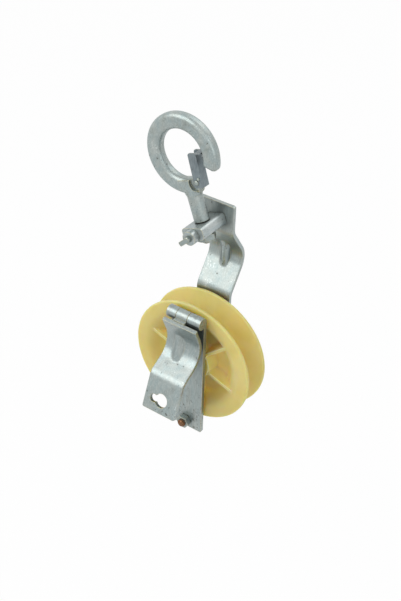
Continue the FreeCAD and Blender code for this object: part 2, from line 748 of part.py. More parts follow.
def make_bearings():
    """Two ball bearings: rings with a race each, shields, balls and cages."""
    near, far = "(bearing_centre - bearing_width / 2)", "(bearing_centre + bearing_width / 2)"
    bore = "(axle_radius + fit)"

    def races(sketch):
        for across in ("bearing_centre", "-bearing_centre"):
            draw_circle(sketch, across, "ball_pitch", "ball_radius + race_clearance")

    rings = (("bearing_inner_rings", bore, "inner_ring_radius"),
             ("bearing_outer_rings", "outer_ring_radius", "bearing_radius"))
    for name, inner, outer in rings:
        body = add_body(name)
        revolve(body, "rings", both_sides(inner, outer, near, far))
        revolve(body, "races", races, "Groove")
    body = add_body("bearing_shields")
    shield_in, shield_out = "(inner_ring_radius + shield_gap)", "(outer_ring_radius - fit)"
    sides = (("outer", f"{far} - shield_thick", far), ("inner", near, f"{near} + shield_thick"))
    for name, low, high in sides:
        revolve(body, name + "_shields", both_sides(shield_in, shield_out, low, high))
    add_ball_rings("bearing_balls", "Additive", "ball_radius")
    add_ball_rings("bearing_cages", "Subtractive", "ball_radius + race_clearance")
    body = add_body("axle_spacers")
    revolve(body, "tubes", both_sides(bore, "spacer_radius", far, INNER))
    make_tube("bearing_distance_tube", bore, "spacer_radius", f"-{near}", near)


def add_ball_rings(name, kind, radius):
    """Balls in both bearings, or the cages with a pocket for each ball."""
    body = add_body(name)
    if kind == "Subtractive":
        span = both_sides("ball_pitch - cage_wall", "ball_pitch + cage_wall",
                          "bearing_centre - cage_half_width", "bearing_centre + cage_half_width")
        revolve(body, "cages", span)
    spheres = []
    for side, across in (("rear", "bearing_centre"), ("front", "-bearing_centre")):
        sphere = body.newObject(f"PartDesign::{kind}Sphere", f"{side}_ball")
        sphere.setExpression("Radius", cells(radius))
        sphere.setExpression("Placement.Base.y", cells(across))
        sphere.setExpression("Placement.Base.z", "sizes.ball_pitch")
        spheres.append(sphere)
    repeat_round(body, "ball_ring", spheres, "ball_count")


def lean_on_hook(body, across="0", up="0", back_turn="0"):
    """Place a piece drawn at a point of the upright hook, across and up from the crossbar's axis."""
    x = f"({across}) * cos(hook_lean) - ({up}) * sin(hook_lean)"
    z = f"crossbar_height + ({across}) * sin(hook_lean) + ({up}) * cos(hook_lean)"
    place(body, x=x, z=z, axis=(0, -1, 0), angle=f"hook_lean - {back_turn}")


def make_hook():
    """Forged hook: bowl, neck, round stem and threaded shank. Drawn about the bowl's centre."""
    body = add_body("hook")
    half = "(bowl_thick / 2)"
    sketch = add_sketch(body, "bowl_section", "YZ")
    tip_over = FreeCAD.Rotation(FreeCAD.Vector(1, 0, 0), 1)
    sketch.AttachmentOffset = FreeCAD.Placement(FreeCAD.Vector(), tip_over)
    sketch.setExpression("AttachmentOffset.Rotation.Angle", cells("90 + neck_angle"))
    draw_outline(sketch, ring_section("bowl_radius", "(bowl_radius + bowl_depth)", f"-{half}", half))
    bowl = add_feature(body, "Revolution", "bowl", sketch)
    bowl.ReferenceAxis = (sketch, ["H_Axis"])
    bowl.setExpression("Angle", cells("360 - neck_angle + tip_angle"))
    long_way = lambda e: e.Length > 3 * number("bowl_radius")
    rounded = dress(body, "Fillet", "bowl_round", bowl, long_way, "bowl_round")
    angle = math.radians(number("tip_angle"))

    def tip_edge(edge):
        spots = edge.discretize(5)
        off = [abs(v.x * math.sin(angle) + v.z * math.cos(angle)) for v in spots]
        return max(off) < NEAR and min(v.x for v in spots) > 0

    dress(body, "Fillet", "tip_round", rounded, tip_edge, "tip_round")
    add_neck(body)
    pin = lambda s: draw_circle(s, "latch_across", "-latch_drop", "latch_pin_radius + fit")
    pocket_between(body, "latch_bore", "XZ", pin, "-bowl_thick", "bowl_thick")
    reach = "(spring_radius + 2 * spring_wire + lug_slot_spare)"
    slot = [(f"latch_across - {reach}", f"-latch_drop - {reach}"),
            ("bowl_radius", f"-latch_drop - {reach}"),
            ("bowl_radius", "slot_rise - neck_drop"),
            (f"latch_across - {reach}", "slot_rise - neck_drop")]
    pocket_between(body, "lug_slot", "XZ", turned_section(slot), "-lug_slot_half", "lug_slot_half")
    thin_lug(body)
    lean_on_hook(body, up="bowl_height")


def thin_lug(body):
    """Round the lug's free side about the latch pivot and mill its two faces where the latch sits."""
    centre_up = "(-latch_drop)"
    turns = (90, 60, 30, 0)
    ear = [(f"latch_across + lug_radius * cos({a})", f"{centre_up} + lug_radius * sin({a})") for a in turns]
    low, high = f"{centre_up} - lug_drop", f"{centre_up} + lug_radius"
    ear += [("latch_across + lug_radius", low), ("bowl_radius", low), ("bowl_radius", high)]
    pocket_between(body, "lug_ear", "XZ", turned_section(ear), "-bowl_thick", "bowl_thick")
    seat = lambda s: draw_circle(s, "latch_across", centre_up, "lug_seat_radius")
    pocket_between(body, "front_seat", "XZ", seat, "-bowl_thick", "-lug_half")
    pocket_between(body, "rear_seat", "XZ", seat, "lug_half", "bowl_thick")


def add_neck(body):
    """Loft from the round stem to the wide foot of the bowl, then the stem and the shank."""
    sections = (("neck_low", STEM_TOP, "(stem_radius + 0.2)", "stem_radius"),
                ("neck_high", NECK_TOP, "neck_half_width", "(bowl_thick / 2)"))
    sketches = []
    for name, up, half_width, radius in sections:
        sketch = add_sketch(body, name, "XY", f"{up} - bowl_height")
        draw_obround(sketch, "0", "0", half_width, radius)
        sketches.append(sketch)
    before = volume_of(body)
    loft = add_feature(body, "AdditiveLoft", "neck", sketches[0])
    loft.Sections = [sketches[1]]
    loft.Ruled = True
    check_change(body, loft, before, True)
    stem = [("0", HOOK_SEAT), ("stem_radius - end_bevel", HOOK_SEAT),
            ("stem_radius", f"{HOOK_SEAT} + end_bevel"),
            ("stem_radius", f"{STEM_TOP} + 0.5"), ("0", f"{STEM_TOP} + 0.5")]
    shank = [("0", f"-{SHANK_TAIL}"), ("shank_radius - end_bevel", f"-{SHANK_TAIL}"),
             ("shank_radius", f"-{SHANK_TAIL} + end_bevel"), ("shank_radius", f"{HOOK_SEAT} + 1"),
             ("0", f"{HOOK_SEAT} + 1")]
    for name, section in (("stem", stem), ("shank", shank)):
        lifted = [(across, f"{up} - bowl_height") for across, up in section]
        revolve(body, name, turned_section(lifted), axis="V_Axis")


def make_latch():
    """Folded sheet latch over the lug, with a tab that rests inside the bowl. Drawn about its pivot."""
    body = add_body("latch")
    outer, inner = "(latch_inner_half + latch_sheet)", "latch_inner_half"
    back = "latch_right - latch_sheet"
    channel = [("-latch_left", f"-{outer}"), ("latch_right", f"-{outer}"), ("latch_right", outer),
               ("-latch_left", outer), ("-latch_left", inner), (back, inner),
               (back, f"-{inner}"), ("-latch_left", f"-{inner}")]
    pad = pad_between(body, "channel", "XY", turned_section(channel), "-latch_below", "latch_length")
    fold = number("latch_right")
    folded = lambda e: e.BoundBox.ZLength > 5 and abs(e.BoundBox.XMin - fold) < NEAR
    pad = dress(body, "Fillet", "fold", pad, folded, "fold_radius")
    left, foot = -number("latch_left"), -number("latch_below")

    def ear(edge):
        box = edge.BoundBox
        end = abs(box.ZMin - foot) < NEAR or abs(box.ZMin - number("latch_length")) < NEAR
        return abs(box.XMax - left) < NEAR and box.YLength > 1 and end

    dress(body, "Fillet", "ears", pad, ear, "latch_round")
    bore = lambda s: draw_circle(s, "0", "0", "latch_pin_radius + pin_clearance")
    pocket_between(body, "bore", "XZ", bore, f"-{outer} - 1", f"{outer} + 1")
    tab = [(back, f"-{outer}"), ("tab_reach", f"-{outer}"), ("tab_reach", outer), (back, outer)]
    tab = pad_between(body, "tab", "XY", turned_section(tab), "latch_length - latch_sheet", "latch_length")
    reach = number("tab_reach")
    corner = lambda e: abs(e.BoundBox.XMin - reach) < NEAR and e.BoundBox.YLength < NEAR
    dress(body, "Fillet", "tab_corners", tab, corner, "tab_round")
    lean_on_hook(body, "latch_across", LATCH_UP, "latch_tilt")


def make_latch_pins():
    """Rivet through the hook's lug, and two studs on the latch's sides."""
    side = "(latch_inner_half + latch_sheet + pin_clearance)"
    head = "latch_head"
    body = add_body("latch_rivet")
    section = []
    for sign in ("-", ""):
        top, shoulder = f"{sign}({side} + {head})", f"{sign}({side} + {head} * head_shoulder)"
        end = [(top, "0"), (top, "rivet_crown"), (shoulder, "rivet_head_radius"),
               (f"{sign}{side}", "rivet_head_radius"), (f"{sign}{side}", "latch_pin_radius")]
        section += end if sign else end[::-1]
    revolve(body, "rivet", turned_section(section))
    lean_on_hook(body, "latch_across", LATCH_UP)
    body = add_body("latch_studs")
    face = "(latch_inner_half + latch_sheet)"

    def studs(sketch):
        for sign in ("", "-"):
            top, shoulder = f"{sign}({face} + {head})", f"{sign}({face} + {head} * head_shoulder)"
            draw_outline(sketch, [(f"{sign}{face}", "0"), (top, "0"), (top, "stud_radius * stud_crown"),
                                  (shoulder, "stud_radius"), (f"{sign}{face}", "stud_radius")])

    revolve(body, "studs", studs)
    lean_on_hook(body, "latch_across + stud_across", f"{LATCH_UP} + stud_up")


def make_latch_spring():
    """Wire coil round the rivet, inside the lug's slot, with a leg that rises into the bowl."""
    body = add_body("latch_spring")
    for turn in (-1, 0, 1):
        ring = body.newObject("PartDesign::AdditiveTorus", f"turn_{turn + 2}")
        ring.setExpression("Radius1", "sizes.spring_radius")
        ring.setExpression("Radius2", "sizes.spring_wire")
        ring.Placement = FreeCAD.Placement(FreeCAD.Vector(), FreeCAD.Rotation(FreeCAD.Vector(1, 0, 0), 90))
        ring.setExpression("Placement.Base.y", cells(f"{turn} * 2 * (spring_wire - spring_bite)"))
    leg = body.newObject("PartDesign::AdditiveCylinder", "leg")
    leg.setExpression("Radius", "sizes.spring_wire")
    leg.setExpression("Height", "sizes.spring_leg")
    leg.Placement = FreeCAD.Placement(FreeCAD.Vector(), FreeCAD.Rotation(FreeCAD.Vector(0, -1, 0), 1))
    leg.setExpression("Placement.Base.x", "-sizes.spring_radius")
    leg.setExpression("Placement.Rotation.Angle", "sizes.spring_tilt")
    body.Tip = leg
    lean_on_hook(body, "latch_across", LATCH_UP)


def check_document():
    doc.recompute()
    for item in doc.Objects:
        if "Invalid" in item.State or "Error" in item.State:
            raise ValueError(f"{item.Label} is {item.State}")
    for item in subparts:
        if item.Shape.isNull() or not item.Shape.isValid():
            raise ValueError(f"{item.Label} has no valid shape")


def write_parts():
    os.makedirs("parts", exist_ok=True)
    for item in subparts:
        item.Shape.exportStep(os.path.join("parts", item.Label + ".step"))
        print(item.Label, len(item.Shape.Solids), round(item.Shape.Volume))


def main():
    fill_sheet()
    make_rear_strap()
    make_front_plate()
    make_hinge_pin()
    make_gate_strap()
    make_axle()
    washer_end = f"({OUTER} + axle_washer)"
    make_tube("axle_washer", "axle_radius + washer_clearance", "axle_washer_radius", OUTER, washer_end)
    make_nut("axle_nut", "axle_nut_flats", "axle_radius + fit", washer_end, f"({washer_end} + axle_nut)")
    make_bearings()
    make_roller()
    make_tie_bolt()
    make_tie_spacer()
    nut = make_nut("tie_nut", "tie_flats", "tie_radius + fit", f"(-{OUTER} - tie_nut)", f"(-{OUTER})")
    place(nut, z=f"-{TIE_DROP}")
    make_crossbar()
    collar = make_tube("crossbar_collar", "spigot_radius + fit", "collar_radius", COLLAR_START, COLLAR_END)
    place(collar, z="crossbar_height")
    make_lock_pin_bush()
    make_lock_pin()
    make_hook()
    nut_low, nut_high = f"(-{NUT_SEAT} - hook_nut)", f"(-{NUT_SEAT})"
    nut = make_nut("hook_nut", "hook_nut_flats", "shank_radius + fit", nut_low, nut_high, "Z")
    lean_on_hook(nut)
    make_latch()
    make_latch_pins()
    make_latch_spring()
    check_document()
    write_parts()


main()
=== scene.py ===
import math
import bmesh
import bpy
from mathutils import Matrix, Vector


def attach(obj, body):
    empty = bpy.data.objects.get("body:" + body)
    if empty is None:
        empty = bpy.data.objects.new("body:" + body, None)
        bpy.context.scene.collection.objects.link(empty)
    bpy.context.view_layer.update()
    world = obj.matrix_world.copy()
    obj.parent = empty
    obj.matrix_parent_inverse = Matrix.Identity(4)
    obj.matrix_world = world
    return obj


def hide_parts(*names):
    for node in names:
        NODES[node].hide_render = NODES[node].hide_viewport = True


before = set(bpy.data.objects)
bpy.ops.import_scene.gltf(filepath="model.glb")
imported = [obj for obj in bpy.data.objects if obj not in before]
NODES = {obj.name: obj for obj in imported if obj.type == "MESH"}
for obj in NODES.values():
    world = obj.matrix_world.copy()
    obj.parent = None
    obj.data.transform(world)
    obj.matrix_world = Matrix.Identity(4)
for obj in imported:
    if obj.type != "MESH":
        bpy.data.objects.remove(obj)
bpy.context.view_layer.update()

# Lengths are in millimetres except on the stage, and MM turns them into the frame's metres
MM = 0.001


# Camera: the photograph's view, from above on the right

AZIMUTH = math.radians(34.32)
ELEVATION = math.radians(36.56)
ROLL = math.radians(1.8)
CAMERA_AT = Vector((430, -632.1, 634.3)) * MM
FOCAL_PIXELS = 955.7
FRAME_HEIGHT = 601
SENSOR_WIDTH = 36.0


def make_camera():
    right = Vector((math.cos(AZIMUTH), math.sin(AZIMUTH), 0))
    back = Vector((math.sin(AZIMUTH) * math.cos(ELEVATION),
                   -math.cos(AZIMUTH) * math.cos(ELEVATION),
                   math.sin(ELEVATION)))
    up = back.cross(right)
    across = right * math.cos(ROLL) + up * math.sin(ROLL)
    upward = up * math.cos(ROLL) - right * math.sin(ROLL)
    data = bpy.data.cameras.new("camera")
    data.sensor_width = SENSOR_WIDTH
    data.lens = FOCAL_PIXELS / FRAME_HEIGHT * SENSOR_WIDTH
    data.clip_start = 0.01
    camera = bpy.data.objects.new("camera", data)
    turn = Matrix((across, upward, back)).transposed().to_4x4()
    camera.matrix_world = Matrix.Translation(CAMERA_AT) @ turn
    bpy.context.scene.collection.objects.link(camera)
    bpy.context.scene.camera = camera


# Node helpers: each adds to a node tree and returns the new output socket

def set_socket(tree, socket, value):
    """Link a socket to another one, or set it to a number or a colour."""
    if isinstance(value, bpy.types.NodeSocket):
        tree.links.new(value, socket)
    elif isinstance(value, tuple):
        socket.default_value = (*value, 1)
    else:
        socket.default_value = value


def calculate(tree, operation, first, second, clamp=False):
    """A maths node on two sockets or numbers."""
    node = tree.nodes.new("ShaderNodeMath")
    node.operation = operation
    node.use_clamp = clamp
    set_socket(tree, node.inputs[0], first)
    set_socket(tree, node.inputs[1], second)
    return node.outputs[0]


def mix_colour(tree, factor, low, high):
    node = tree.nodes.new("ShaderNodeMix")
    node.data_type = "RGBA"
    set_socket(tree, node.inputs[0], factor)
    set_socket(tree, node.inputs[6], low)
    set_socket(tree, node.inputs[7], high)
    return node.outputs[2]


def mix_shaders(tree, factor, low, high):
    node = tree.nodes.new("ShaderNodeMixShader")
    tree.links.new(factor, node.inputs[0])
    tree.links.new(low, node.inputs[1])
    tree.links.new(high, node.inputs[2])
    return node.outputs[0]


def ramp(tree, value, stops):
    """A colour ramp from (position, colour) pairs."""
    node = tree.nodes.new("ShaderNodeValToRGB")
    band = node.color_ramp
    while len(band.elements) < len(stops):
        band.elements.new(0.5)
    for element, (at, colour) in zip(band.elements, stops):
        element.position = at
        element.color = (*colour, 1)
    tree.links.new(value, node.inputs[0])
    return node.outputs[0]


def rise(tree, value, start, end, low=0.0, high=1.0):
    """A ramp of greys, from one level at start to another at end."""
    return ramp(tree, value, ((start, (low, low, low)), (end, (high, high, high))))


def noise(tree, scale, detail=4.0, stretch=(1, 1, 1), roughness=0.55, distort=0.0):
    """Noise on the object's own coordinates in metres, stretched along each axis."""
    place = tree.nodes.new("ShaderNodeTexCoord")
    mapping = tree.nodes.new("ShaderNodeMapping")
    mapping.inputs["Scale"].default_value = stretch
    tree.links.new(place.outputs["Object"], mapping.inputs["Vector"])
    texture = tree.nodes.new("ShaderNodeTexNoise")
    texture.inputs["Scale"].default_value = scale
    texture.inputs["Detail"].default_value = detail
    texture.inputs["Roughness"].default_value = roughness
    texture.inputs["Distortion"].default_value = distort
    tree.links.new(mapping.outputs[0], texture.inputs["Vector"])
    return texture.outputs["Fac"]


def fade_along(tree, axis, start, end):
    """A factor that goes from 0 to 1 between two places along one of the object's axes."""
    place = tree.nodes.new("ShaderNodeTexCoord")
    split = tree.nodes.new("ShaderNodeSeparateXYZ")
    tree.links.new(place.outputs["Object"], split.inputs[0])
    fade = tree.nodes.new("ShaderNodeMapRange")
    fade.inputs["From Min"].default_value = start * MM
    fade.inputs["From Max"].default_value = end * MM
    tree.links.new(split.outputs[axis], fade.inputs["Value"])
    return fade.outputs[0]


def bump(tree, height, distance, strength=1.0, normal=None):
    node = tree.nodes.new("ShaderNodeBump")
    node.inputs["Distance"].default_value = distance * MM
    node.inputs["Strength"].default_value = strength
    tree.links.new(height, node.inputs["Height"])
    if normal is not None:
        tree.links.new(normal, node.inputs["Normal"])
    return node.outputs[0]


def soft_edges(tree, radius):
    """Normals that round sharp edges off."""
    node = tree.nodes.new("ShaderNodeBevel")
    node.samples = 6
    node.inputs["Radius"].default_value = radius * MM
    return node.outputs[0]


def edge_mask(tree, radius, gain=6.0):
    """1 along sharp edges and 0 on flat faces."""
    flat = tree.nodes.new("ShaderNodeNewGeometry")
    dot = tree.nodes.new("ShaderNodeVectorMath")
    dot.operation = "DOT_PRODUCT"
    tree.links.new(soft_edges(tree, radius), dot.inputs[0])
    tree.links.new(flat.outputs["Normal"], dot.inputs[1])
    turned = calculate(tree, "SUBTRACT", 1.0, dot.outputs["Value"])
    return calculate(tree, "MULTIPLY", turned, gain, clamp=True)


def openness(tree, reach, samples):
    """1 on open faces, falling towards 0 where other surfaces stand within reach."""
    node = tree.nodes.new("ShaderNodeAmbientOcclusion")
    node.samples = samples
    node.inputs["Distance"].default_value = reach * MM
    return node.outputs["AO"]


def hollow_shade(tree, reach, open_at=0.62, strength=0.9):
    """How much painted shade a place gets: up to strength in gaps and corners, and 0 on open faces."""
    return rise(tree, openness(tree, reach, 6), 0.28, open_at, strength, 0)


def new_material(name):
    material = bpy.data.materials.new(name)
    material.use_nodes = True
    return material, material.node_tree, material.node_tree.nodes["Principled BSDF"]


# Stage, in metres: white surroundings, a pale floor that keeps a faint shadow, and soft lamps

WORLD_COLOUR = (0.93, 0.96, 1.0, 1)
WORLD_STRENGTH = 0.46
FLOOR_COLOUR = (0.92, 0.92, 0.92, 1)
FLOOR_GLOW = 0.97
FLOOR_DROP = 0.42
FLOOR_HALF = 6.0
LAMP_TARGET = Vector((0, 0, 0.05))


def seen_directly(tree):
    """A factor of 1 for rays from the camera, mirrors and glass, and 0 for the rest."""
    path = tree.nodes.new("ShaderNodeLightPath")
    total = path.outputs["Is Camera Ray"]
    for name in ("Is Glossy Ray", "Is Transmission Ray"):
        total = calculate(tree, "MAXIMUM", total, path.outputs[name])
    return total


def make_world():
    """A plain level of light on the object, and white behind it."""
    world = bpy.data.worlds.new("studio")
    world.use_nodes = True
    bpy.context.scene.world = world
    tree = world.node_tree
    light = tree.nodes["Background"]
    light.inputs["Color"].default_value = WORLD_COLOUR
    light.inputs["Strength"].default_value = WORLD_STRENGTH
    white = tree.nodes.new("ShaderNodeBackground")
    white.inputs["Color"].default_value = (1, 1, 1, 1)
    white.inputs["Strength"].default_value = 1.0
    mix = mix_shaders(tree, seen_directly(tree), light.outputs[0], white.outputs[0])
    tree.links.new(mix, tree.nodes["World Output"].inputs["Surface"])


def floor_material():
    """Matt and pale, and nearly white when it is seen directly."""
    material, tree, shader = new_material("pale_floor")
    shader.inputs["Base Color"].default_value = FLOOR_COLOUR
    shader.inputs["Roughness"].default_value = 0.9
    glow = tree.nodes.new("ShaderNodeEmission")
    glow.inputs["Strength"].default_value = 1.0
    share = calculate(tree, "MULTIPLY", seen_directly(tree), FLOOR_GLOW)
    mix = mix_shaders(tree, share, shader.outputs[0], glow.outputs[0])
    tree.links.new(mix, tree.nodes["Material Output"].inputs["Surface"])
    return material


def make_floor():
    mesh = bpy.data.meshes.new("floor")
    corners = [(x * FLOOR_HALF, y * FLOOR_HALF, 0) for x, y in ((-1, -1), (1, -1), (1, 1), (-1, 1))]
    mesh.from_pydata(corners, [], [(0, 1, 2, 3)])
    mesh.materials.append(floor_material())
    floor = bpy.data.objects.new("floor", mesh)
    floor.location.z = -FLOOR_DROP
    bpy.context.scene.collection.objects.link(floor)


def add_lamp(name, at, size, power):
    """A round lamp at a place in metres, aimed at the middle of the object."""
    data = bpy.data.lights.new(name, "AREA")
    data.shape = "DISK"
    data.size = size
    data.energy = power
    lamp = bpy.data.objects.new(name, data)
    lamp.location = at
    lamp.rotation_euler = (Vector(at) - LAMP_TARGET).to_track_quat("Z", "Y").to_euler()
    bpy.context.scene.collection.objects.link(lamp)


def make_lamps():
    add_lamp("key", (-1.2, -1.6, 1.8), size=2.4, power=31)
    add_lamp("fill", (1.9, -0.9, 0.9), size=1.6, power=6)
    add_lamp("back", (0.2, 1.5, 2.0), size=1.8, power=9)


# Zinc: every plated and bare metal part, in several tones

ALONG_Z = (1, 1, 0.12)
ALONG_Y = (1, 0.12, 1)
EVEN = (1, 1, 1)
PLATE_ROUGHNESS = (0.29, 0.42)
PLATE_METALLIC = 0.75
BLUISH = (0.76, 0.83, 0.86)
PALE = 1.18
SHADED = 0.4
YELLOWED = (0.62, 0.55, 0.30)
SPECK = (0.10, 0.10, 0.09)
# Painted highlight colour for the glints
GLINT_HIGHLIGHT = (0.72, 0.76, 0.74)
SOIL = (0.12, 0.12, 0.10)
# Painted shade colour for narrow gaps and corners
GAP_SHADE = (0.05, 0.045, 0.035)
COPPERY = ((0.35, (0.10, 0.045, 0.02)), (0.65, (0.30, 0.15, 0.07)))


def plating(tree, base, dark, clouds, streaks, stretch):
    """The plate's own colour: cloudy, with bluish bands and pale streaks along the rolling."""
    colour = mix_colour(tree, rise(tree, clouds, 0.38, 0.66), dark, base)
    bands = noise(tree, 170, 4, stretch, roughness=0.4)
    bluish = tuple(c * tint for c, tint in zip(base, BLUISH))
    colour = mix_colour(tree, rise(tree, bands, 0.40, 0.62), colour, bluish)
    pale = tuple(min(1.0, c * PALE) for c in base)
    return mix_colour(tree, rise(tree, streaks, 0.45, 0.75, high=0.7), colour, pale)


def weathering_and_glints(tree, colour):
    """Dark specks of two sizes, patches of painted glints (bright highlights), and soil at the foot of
    the frame.
    """
    for scale, start in ((230, 0.70), (620, 0.69)):
        specks = rise(tree, noise(tree, scale, 2), start, start + 0.04, high=0.8)
        colour = mix_colour(tree, specks, colour, SPECK)
    # Painted highlight: patches of bright glints mixed into the colour
    patches = rise(tree, noise(tree, 48, 2), 0.59, 0.68, high=0.6)
    glints = rise(tree, noise(tree, 640, 2), 0.56, 0.62)
    colour = mix_colour(tree, calculate(tree, "MULTIPLY", patches, glints), colour, GLINT_HIGHLIGHT)
    low_down = fade_along(tree, "Z", -30, -80)
    soiled = rise(tree, noise(tree, 330, 3), 0.58, 0.63, high=0.8)
    return mix_colour(tree, calculate(tree, "MULTIPLY", low_down, soiled), colour, SOIL)


def zinc(name, base, dark, rough=PLATE_ROUGHNESS, stretch=ALONG_Z, edge=YELLOWED, wear_and_glints=True,
         forging=0.0):
    """Metal between two tones, with yellowed rubbed edges, painted shade in its hollows and corners, and
    a fine grain.
    """
    material, tree, shader = new_material(name)
    clouds = noise(tree, 55, 5, distort=0.6)
    streaks = noise(tree, 900, 3, stretch)
    colour = plating(tree, base, dark, clouds, streaks, stretch)
    # Real specks and soil, with painted glint highlights among them
    if wear_and_glints:
        colour = weathering_and_glints(tree, colour)
    # Painted shade: darker wherever other surfaces stand within 30 mm
    shaded = tuple(c * SHADED for c in dark)
    colour = mix_colour(tree, hollow_shade(tree, 30, 0.95, 0.55), colour, shaded)
    colour = mix_colour(tree, edge_mask(tree, 0.7), colour, edge)
    # Painted shade: near black in narrow gaps and corners within 2.2 mm
    colour = mix_colour(tree, hollow_shade(tree, 2.2), colour, GAP_SHADE)
    tree.links.new(colour, shader.inputs["Base Color"])
    shader.inputs["Metallic"].default_value = PLATE_METALLIC
    tree.links.new(rise(tree, clouds, 0.3, 0.7, *rough), shader.inputs["Roughness"])
    grain = bump(tree, streaks, 0.04, 0.6, soft_edges(tree, 0.35))
    surface = bump(tree, clouds, 0.3, 0.4, grain)
    if forging:
        surface = bump(tree, noise(tree, 380, 3), forging, 0.6, surface)
    tree.links.new(surface, shader.inputs["Normal"])
    return material


def rusted_bolt():
    """Dull plate whose front end has gone coppery brown."""
    material = zinc("rusted_bolt", (0.30, 0.32, 0.31), (0.20, 0.22, 0.21))
    tree = material.node_tree
    colour = tree.nodes["Principled BSDF"].inputs["Base Color"]
    clean = colour.links[0].from_socket
    rust = ramp(tree, noise(tree, 700, 4), COPPERY)
    front_end = fade_along(tree, "Y", -29.5, -30.6)
    tree.links.new(mix_colour(tree, front_end, clean, rust), colour)
    return material


# Nylon: cream and slightly translucent, with a painted warm glow in its hollows and painted highlights
# along its edges

CREAM = (0.79, 0.67, 0.23)
LIGHT_CREAM = (0.84, 0.73, 0.31)
# Painted glow tones for the hollows
HOLLOW_GLOW_TONES = ((0.80, (1.0, 0.80, 0.33)), (0.55, (1.0, 0.72, 0.12)))
# Painted highlight colour for edges
EDGE_HIGHLIGHT = (0.96, 0.90, 0.62)
FLOW_MARK = (0.42, 0.33, 0.16)
SCATTER_TINT = (1.0, 0.7, 0.25)
SCATTER_DEPTH = 8
NYLON_IOR = 1.53


def nylon_colour(tree, clouds):
    colour = mix_colour(tree, rise(tree, clouds, 0.35, 0.7), CREAM, LIGHT_CREAM)
    hollow = openness(tree, 16, 8)
    # Painted light: a warm orange glow laid into hollows, by occlusion within 16 mm
    for open_at, tone in HOLLOW_GLOW_TONES:
        depth = rise(tree, hollow, open_at / 3, open_at, 1, 0)
        colour = mix_colour(tree, depth, colour, tone)
    # Painted highlight along sharp edges
    colour = mix_colour(tree, edge_mask(tree, 1.6), colour, EDGE_HIGHLIGHT)
    marks = rise(tree, noise(tree, 700, 3), 0.70, 0.78, high=0.25)
    return mix_colour(tree, marks, colour, FLOW_MARK)


def nylon():
    material, tree, shader = new_material("nylon")
    clouds = noise(tree, 28, 4, distort=0.8)
    tree.links.new(nylon_colour(tree, clouds), shader.inputs["Base Color"])
    shader.inputs["Subsurface Weight"].default_value = 1.0
    shader.inputs["Subsurface Radius"].default_value = SCATTER_TINT
    shader.inputs["Subsurface Scale"].default_value = SCATTER_DEPTH * MM
    shader.inputs["IOR"].default_value = NYLON_IOR
    tree.links.new(rise(tree, clouds, 0.3, 0.7, 0.40, 0.52), shader.inputs["Roughness"])
    skin = bump(tree, noise(tree, 260, 4), 0.12, 0.35, soft_edges(tree, 0.8))
    tree.links.new(skin, shader.inputs["Normal"])
    return material


# Which material each node of the frame wears

PAINTED = {
    "bar": ("rear_strap", "front_plate", "gate_strap"),
    "tube": ("crossbar", "lock_pin_bush"),
    "forged": ("hook",),
    "latch": ("latch", "latch_spring"),
    "fastener": ("hinge_pin", "axle", "axle_washer", "axle_nut", "axle_spacers", "tie_spacer", "tie_nut",
                 "lock_pin", "crossbar_collar", "hook_nut", "latch_rivet", "latch_studs"),
    "bearing": ("bearing_inner_rings", "bearing_outer_rings", "bearing_shields", "bearing_balls",
                "bearing_cages", "bearing_distance_tube"),
    "rusted": ("tie_bolt",),
}


def make_materials():
    """Every material by its short name. Each zinc tone is a light colour and a dark one."""
    return {
        "bar": zinc("zinc_bar", (0.42, 0.46, 0.44), (0.28, 0.315, 0.30)),
        "tube": zinc("zinc_tube", (0.51, 0.55, 0.54), (0.39, 0.43, 0.42), stretch=ALONG_Y),
        "forged": zinc("forged_zinc", (0.43, 0.47, 0.45), (0.29, 0.33, 0.31), rough=(0.34, 0.46),
                       stretch=(1, 1, 0.6), forging=0.14),
        "fastener": zinc("zinc_fastener", (0.38, 0.42, 0.40), (0.28, 0.32, 0.30), rough=(0.32, 0.46),
                         stretch=EVEN),
        "latch": zinc("latch_sheet", (0.26, 0.30, 0.31), (0.17, 0.20, 0.215), rough=(0.36, 0.5),
                      edge=(0.42, 0.44, 0.40)),
        "bearing": zinc("bearing_steel", (0.62, 0.62, 0.63), (0.55, 0.55, 0.56), rough=(0.14, 0.22),
                        stretch=EVEN, edge=(0.6, 0.6, 0.6), wear_and_glints=False),
        "rusted": rusted_bolt(),
        "nylon": nylon(),
    }


def paint_nodes(materials):
    for name, nodes in PAINTED.items():
        for node in nodes:
            for place in NODES[node].material_slots:
                place.material = materials[name]


# Mesh tools, with places in millimetres

MERGE_WITHIN = 0.002


def new_piece(name, verts, faces):
    """An object from vertices in metres and faces, with doubles merged and normals outwards."""
    mesh = bpy.data.meshes.new(name)
    mesh.from_pydata(verts, [], faces)
    work = bmesh.new()
    work.from_mesh(mesh)
    bmesh.ops.remove_doubles(work, verts=work.verts, dist=MERGE_WITHIN * MM)
    bmesh.ops.recalc_face_normals(work, faces=work.faces)
    work.to_mesh(mesh)
    work.free()
    piece = bpy.data.objects.new(name, mesh)
    bpy.context.scene.collection.objects.link(piece)
    return piece


def finish_piece(piece, material, body, angle=32):
    """Paint a piece, smooth it up to an angle, and hang it on its body."""
    piece.data.materials.clear()
    piece.data.materials.append(material)
    piece.data.shade_smooth()
    piece.data.set_sharp_from_angle(angle=math.radians(angle))
    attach(piece, body)


def cylinder(name, radius, low, high, axis, at=(0, 0, 0), sides=64):
    """A closed cylinder along an axis letter, through a point."""
    verts = []
    for level in (low, high):
        for k in range(sides):
            turn = 2 * math.pi * k / sides
            a, b = radius * math.cos(turn), radius * math.sin(turn)
            spot = {"X": (level, a, b), "Y": (b, level, a)}[axis]
            verts.append(tuple((p + q) * MM for p, q in zip(spot, at)))
    faces = [(k, (k + 1) % sides, sides + (k + 1) % sides, sides + k) for k in range(sides)]
    faces.append(tuple(reversed(range(sides))))
    faces.append(tuple(range(sides, 2 * sides)))
    return new_piece(name, verts, faces)


